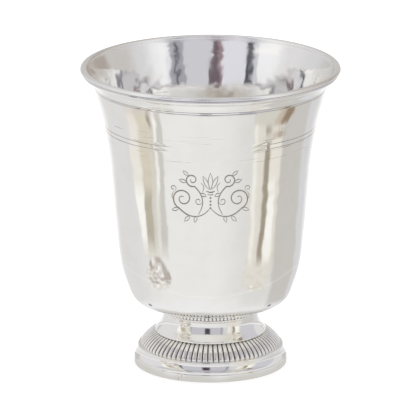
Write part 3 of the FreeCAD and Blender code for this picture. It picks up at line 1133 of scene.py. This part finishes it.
def studio_sky_pattern(g):
    """What a glossy surface sees around and above: pale walls, with dark strips in front."""
    direction = g.node("ShaderNodeTexCoord").outputs["Generated"]
    x, y, z = g.separate(direction)
    rise = g.product(g.maths("ARCSINE", z), 180 / math.pi)
    level = g.maths("SQRT", g.difference(1.0, g.product(z, z)))
    lean = g.maths("SQRT", level)
    wave = g.noise(direction, 9.0, 3.0, 0.7)
    turn = g.product(turn_from_front(g, x, y), lean)
    turn = g.total(turn, g.ramp(wave, 0.3, 0.7, -1.5, 1.5))
    plain = strips(g, turn, far_wall, (
        (-135.0, 15.0, cool_grey),
        (-105.0, 15.0, grey_wall),
        (-75.0, 10.0, white_wall),
        (62.0, 12.0, cool_grey),
        (84.0, 8.0, warm_grey),
        (120.0, 6.0, warm_wall),
        (150.0, 12.0, far_wall),
    ))
    tone = strips(g, turn, white_wall, (
        (-49.5, 0.6, lavender),
        (-43.5, 0.5, ink),
        (-37.0, 0.7, pale_lavender),
        (-12.0, 0.6, maroon),
        (-7.5, 0.8, dark_maroon),
        (-2.0, 0.6, lavender),
        (27.0, 0.5, screen_grey),
        (33.0, 0.4, ink),
        (35.5, 0.4, screen_grey),
        (41.5, 0.5, pale_lavender),
    ))
    above_horizon = g.ramp(rise, 7.5, 10.0)
    tone = g.blend(g.product(g.band(turn, -52.0, 44.0, 2.0), above_horizon), plain, tone)
    either_side = g.total(
        g.band(turn, -72.0, -44.0, 3.0), g.product(g.band(turn, 38.0, 62.0, 3.0), 0.3))
    bright = g.product(either_side, g.band(rise, 30.0, 44.0, 5.0), 0.7)
    return g.blend(bright, tone, window)


def only_for_mirrors(g, plain, pattern):
    """Plain for the camera and for diffuse light, the pattern for glossy rays."""
    glossy = g.node("ShaderNodeLightPath").outputs["Is Glossy Ray"]
    return g.mix_shaders(glossy, plain, pattern)


def make_world():
    world = bpy.data.worlds.new("studio")
    bpy.context.scene.world = world
    world.use_nodes = True
    g = Graph(world.node_tree)
    plain = g.node("ShaderNodeBackground")
    plain.inputs["Color"].default_value = (1, 1, 1, 1)
    seen = g.node("ShaderNodeBackground")
    g.join(studio_sky_pattern(g), seen.inputs["Color"])
    g.surface(only_for_mirrors(g, plain.outputs[0], seen.outputs[0]), "ShaderNodeOutputWorld")


def make_floor():
    half = floor_half_width
    corners = [(-half, -half, 0), (half, -half, 0), (half, half, 0), (-half, half, 0)]
    floor = mesh_object("floor", corners, [(0, 1, 2, 3)])
    material, g = new_material("floor_paper")
    paper = g.node("ShaderNodeBsdfDiffuse")
    g.join(paper_colour, paper.inputs["Color"])
    glow = g.node("ShaderNodeEmission")
    glow.inputs["Strength"].default_value = floor_glow
    both = g.node("ShaderNodeAddShader")
    g.join(paper.outputs[0], both.inputs[0])
    g.join(glow.outputs[0], both.inputs[1])
    seen = g.node("ShaderNodeEmission")
    g.join(studio_floor_pattern(g), seen.inputs["Color"])
    g.surface(only_for_mirrors(g, both.outputs[0], seen.outputs[0]))
    floor.data.materials.append(material)


def glossy_only_piece(name, points, faces, pattern):
    """A staged mesh that only glossy rays see, and only where its pattern is solid."""
    piece = mesh_object(name, points.tolist(), faces)
    material, g = new_material(name)
    tone, solid = pattern(g)
    seen = g.node("ShaderNodeEmission")
    g.join(tone, seen.inputs["Color"])
    clear = g.node("ShaderNodeBsdfTransparent").outputs[0]
    pattern_shader = g.mix_shaders(solid, clear, seen.outputs[0])
    g.surface(only_for_mirrors(g, clear, pattern_shader))
    piece.data.materials.append(material)


def round_the_axis(turns):
    """Points one metre from the axis, at some turns from the front."""
    return np.column_stack([np.sin(turns), -np.cos(turns), np.zeros(len(turns))])


def make_card(name, strip_pattern, first_turn, last_turn):
    """An upright curved card beside the beaker."""
    turns = np.radians(np.linspace(first_turn, last_turn, card_steps + 1))
    foot = round_the_axis(turns) * card_distance
    points = np.vstack([foot, foot + (0, 0, card_height)])
    next_row = card_steps + 1
    faces = [(i, i + 1, next_row + i + 1, next_row + i) for i in range(card_steps)]
    glossy_only_piece(name, points, faces, lambda g: studio_card_pattern(g, strip_pattern))


def make_canopy():
    """A flat ring above the foot, outside the bowl and below its mouth."""
    ring = round_the_axis(np.arange(canopy_steps) * 2 * math.pi / canopy_steps)
    points = np.vstack([ring * canopy_inner, ring * canopy_outer]) + (0, 0, canopy_level)
    rows = [list(range(canopy_steps)), list(range(canopy_steps, 2 * canopy_steps))]
    faces = rows_to_faces(rows, closed=False)
    glossy_only_piece("canopy", points, faces, lambda g: (studio_canopy_pattern(g), 1.0))


def make_camera():
    camera = bpy.data.cameras.new("camera")
    camera.sensor_width = camera_sensor
    camera.lens = camera_lens
    camera.clip_end = camera_reach
    eye = bpy.data.objects.new("camera", camera)
    eye.location = (
        camera_target[0],
        camera_target[1] - camera_distance * math.cos(camera_elevation),
        camera_target[2] + camera_distance * math.sin(camera_elevation),
    )
    eye.rotation_euler = (math.pi / 2 - camera_elevation, 0, 0)
    bpy.context.scene.collection.objects.link(eye)
    bpy.context.scene.camera = eye


materials = {
    "silver_polished": silver("silver_polished", 1.0, silver_colour, 0.05, 0.8),
    "silver_darkened": silver("silver_darkened", 0.95, silver_colour, 0.07),
    "silver_solder": silver("silver_solder", 0.6, solder_colour, 0.30),
}

pieces = (
    (make_bowl, "bowl", "silver_polished"),
    (make_lip, "lip_moulding", "silver_polished"),
    (make_beads, "bead_collar", "silver_darkened"),
    (make_wire, "collar_wire", "silver_polished"),
    (make_neck, "neck", "silver_polished"),
    (make_gadroons, "gadroon_ring", "silver_darkened"),
    (make_skirt, "skirt", "silver_polished"),
    (make_band, "base_band", "silver_polished"),
)
for make, node, slot in pieces:
    piece = make()
    piece.data.materials.append(materials[slot])
    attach(piece, "root")
    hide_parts(node)

for node in ("bowl_solder", "neck_solder", "skirt_solder", "band_solder"):
    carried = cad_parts[node].data.materials
    carried.clear()
    carried.append(materials["silver_solder"])

make_world()
make_floor()
make_card("card_left", card_left_pattern, -90.0, -40.0)
make_card("card_right", card_right_pattern, 32.0, 80.0)
make_canopy()
make_camera()
bpy.context.scene.view_settings.view_transform = "Standard"
